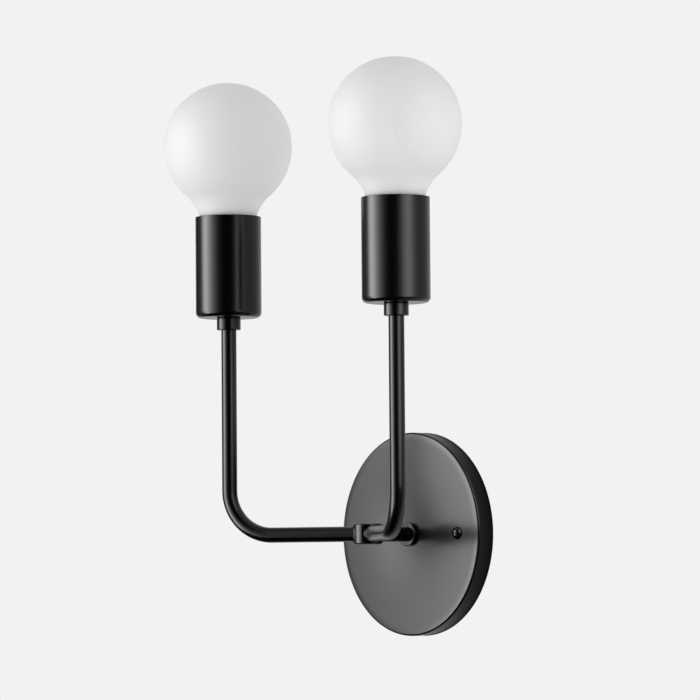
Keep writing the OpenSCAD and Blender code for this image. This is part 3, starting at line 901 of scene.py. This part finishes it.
FAR_STRIP_DISTANCE = 1.2
FAR_STRIP_TURNS = (14, 42)
FAR_STRIP_HEIGHTS = (0, 0.05, 0.1, 0.15, 0.95)
FAR_STRIP_LEVEL = 0.9


def far_strip_glow(turn, z):
    """A narrow light further off at the right, which fades out low down."""
    return FAR_STRIP_LEVEL * smooth(turn, 14, 26) * (1 - smooth(turn, 30, 42)) * smooth(z, 0, 0.15)


SHADE_COLUMNS = 24
# Rings of the wall's shade, in mm from the canopy's edge, and how far it lies off the wall
SHADE_GAPS = (0.2, 0.8, 1.6, 3, 5, 8, 12, 16, 22, 32, 50)
SHADE_OFF = 0.3 * MM
SHADE_LEVEL = 0.27
SHADE_OPEN = 0.55


def wall_shade():
    """The part of the wall close to the canopy, on the side away from the key, as a sheet with the
    canopy's shadow painted into its glow. The painted shade is darkest where it meets the canopy."""
    middle, half, _, _ = box_of("canopy")
    rows = []
    for i in range(SHADE_COLUMNS + 1):
        angle = math.radians(-90 + 180 * i / SHADE_COLUMNS)
        row = []
        for gap in SHADE_GAPS:
            r = half.x + gap * MM
            point = (middle.x + r * math.cos(angle), -SHADE_OFF, middle.z + r * math.sin(angle))
            # painted shadow: the glow is dimmed near the canopy on its side away from the key, and
            # dimmest right at its edge
            open_wall = max(smooth(gap, 10, 50), 1 - smooth(math.cos(angle), 0.1, 1))
            clear = smooth(gap, -0.5, 2.5) * (0.45 + 0.55 * smooth(gap, 0, 14))
            row.append((point, (SHADE_LEVEL + SHADE_OPEN * open_wall) * clear))
        rows.append(row)
    glow_sheet("wall_shade", rows)


def make_lights():
    """The cards that show in reflections, and the soft panels that light the globes."""
    right_lamp = box_of("right_socket_cup")[0]
    card("key", LIGHT_TARGET, KEY_DISTANCE, KEY_TURNS, KEY_HEIGHTS, key_glow)
    card("right_strip", right_lamp, STRIP_DISTANCE, STRIP_TURNS, STRIP_HEIGHTS, strip_glow)
    card("far_strip", LIGHT_TARGET, FAR_STRIP_DISTANCE, FAR_STRIP_TURNS, FAR_STRIP_HEIGHTS,
         far_strip_glow)
    wall_shade()
    left_globe, right_globe = (box_of(f"{side}_bulb_glass")[0] for side in SIDES)
    panel("key_soft", left_globe, turn=-75, distance=1.4, width=0.9, height=1.6, radiance=1.35)
    panel("right_soft", right_globe, turn=48, distance=0.4, width=0.3, height=0.4, radiance=1.0)


def make_world():
    """An even backdrop for the camera, an even fill, and in reflections a pale wall and ceiling."""
    world = bpy.data.worlds.new("studio")
    bpy.context.scene.world = world
    world.use_nodes = True
    world.cycles.sampling_method = "NONE"
    nodes, links = world.node_tree.nodes, world.node_tree.links
    seen = nodes.new("ShaderNodeLightPath").outputs
    direction = nodes.new("ShaderNodeTexCoord").outputs["Generated"]

    def combine(operation, first, second):
        """One sum or product of two sockets or numbers."""
        node = nodes.new("ShaderNodeMath")
        node.operation = operation
        for socket, value in zip(node.inputs, (first, second)):
            if isinstance(value, float):
                socket.default_value = value
            else:
                links.new(value, socket)
        return node.outputs[0]

    def towards(way, start, end, low, high):
        """low to high as the ray turns to point that way."""
        along = nodes.new("ShaderNodeVectorMath")
        along.operation = "DOT_PRODUCT"
        links.new(direction, along.inputs[0])
        along.inputs[1].default_value = way
        ramp = nodes.new("ShaderNodeMapRange")
        ramp.inputs["From Min"].default_value = start
        ramp.inputs["From Max"].default_value = end
        ramp.inputs["To Min"].default_value = low
        ramp.inputs["To Max"].default_value = high
        links.new(along.outputs["Value"], ramp.inputs["Value"])
        return ramp.outputs["Result"]

    wall_edge = towards((0, 1, 0), 0.16, 0.36, 0, 1)
    wall = combine("MULTIPLY", wall_edge, towards(from_sconce(180), 0.4, 0.85, 0.42, 0.67))
    ceiling = towards((0, 0, 1), 0.5, 0.9, 0, 0.4)
    mirrored = combine("MULTIPLY", combine("ADD", wall, ceiling), seen["Is Glossy Ray"])
    shown = combine("MULTIPLY", seen["Is Camera Ray"], BACKDROP)
    even_fill = towards((0, 0, 1), -1, 1, FILL_BELOW, FILL_ABOVE)
    fill = combine("ADD", even_fill, towards(from_sconce(110), 0.3, 1, 0, 0.2))
    filled = combine("MULTIPLY", seen["Is Diffuse Ray"], fill)
    total = combine("ADD", combine("ADD", mirrored, shown), filled)
    links.new(total, nodes["Background"].inputs["Strength"])
    nodes["Background"].inputs["Color"].default_value = (1, 1, 1, 1)


FLOOR_MIDDLE = (0, -0.5, -1.5)
FLOOR_RADIUS = 3


def make_floor():
    """A plain pale floor, well below the sconce."""
    bm = bmesh.new()
    place = Matrix.Translation(FLOOR_MIDDLE)
    bmesh.ops.create_circle(bm, cap_ends=True, radius=FLOOR_RADIUS, segments=96, matrix=place)
    mesh = bpy.data.meshes.new("floor")
    bm.to_mesh(mesh)
    bm.free()
    paint = Finish("floor_paint", (0.82, 0.82, 0.82), 0.7)
    mesh.materials.append(paint.material)
    floor = bpy.data.objects.new("floor", mesh)
    bpy.context.scene.collection.objects.link(floor)
    floor.visible_glossy = False
    floor.visible_diffuse = False


make_camera()
make_lights()
make_world()
make_floor()
bpy.context.scene.view_settings.view_transform = "Standard"
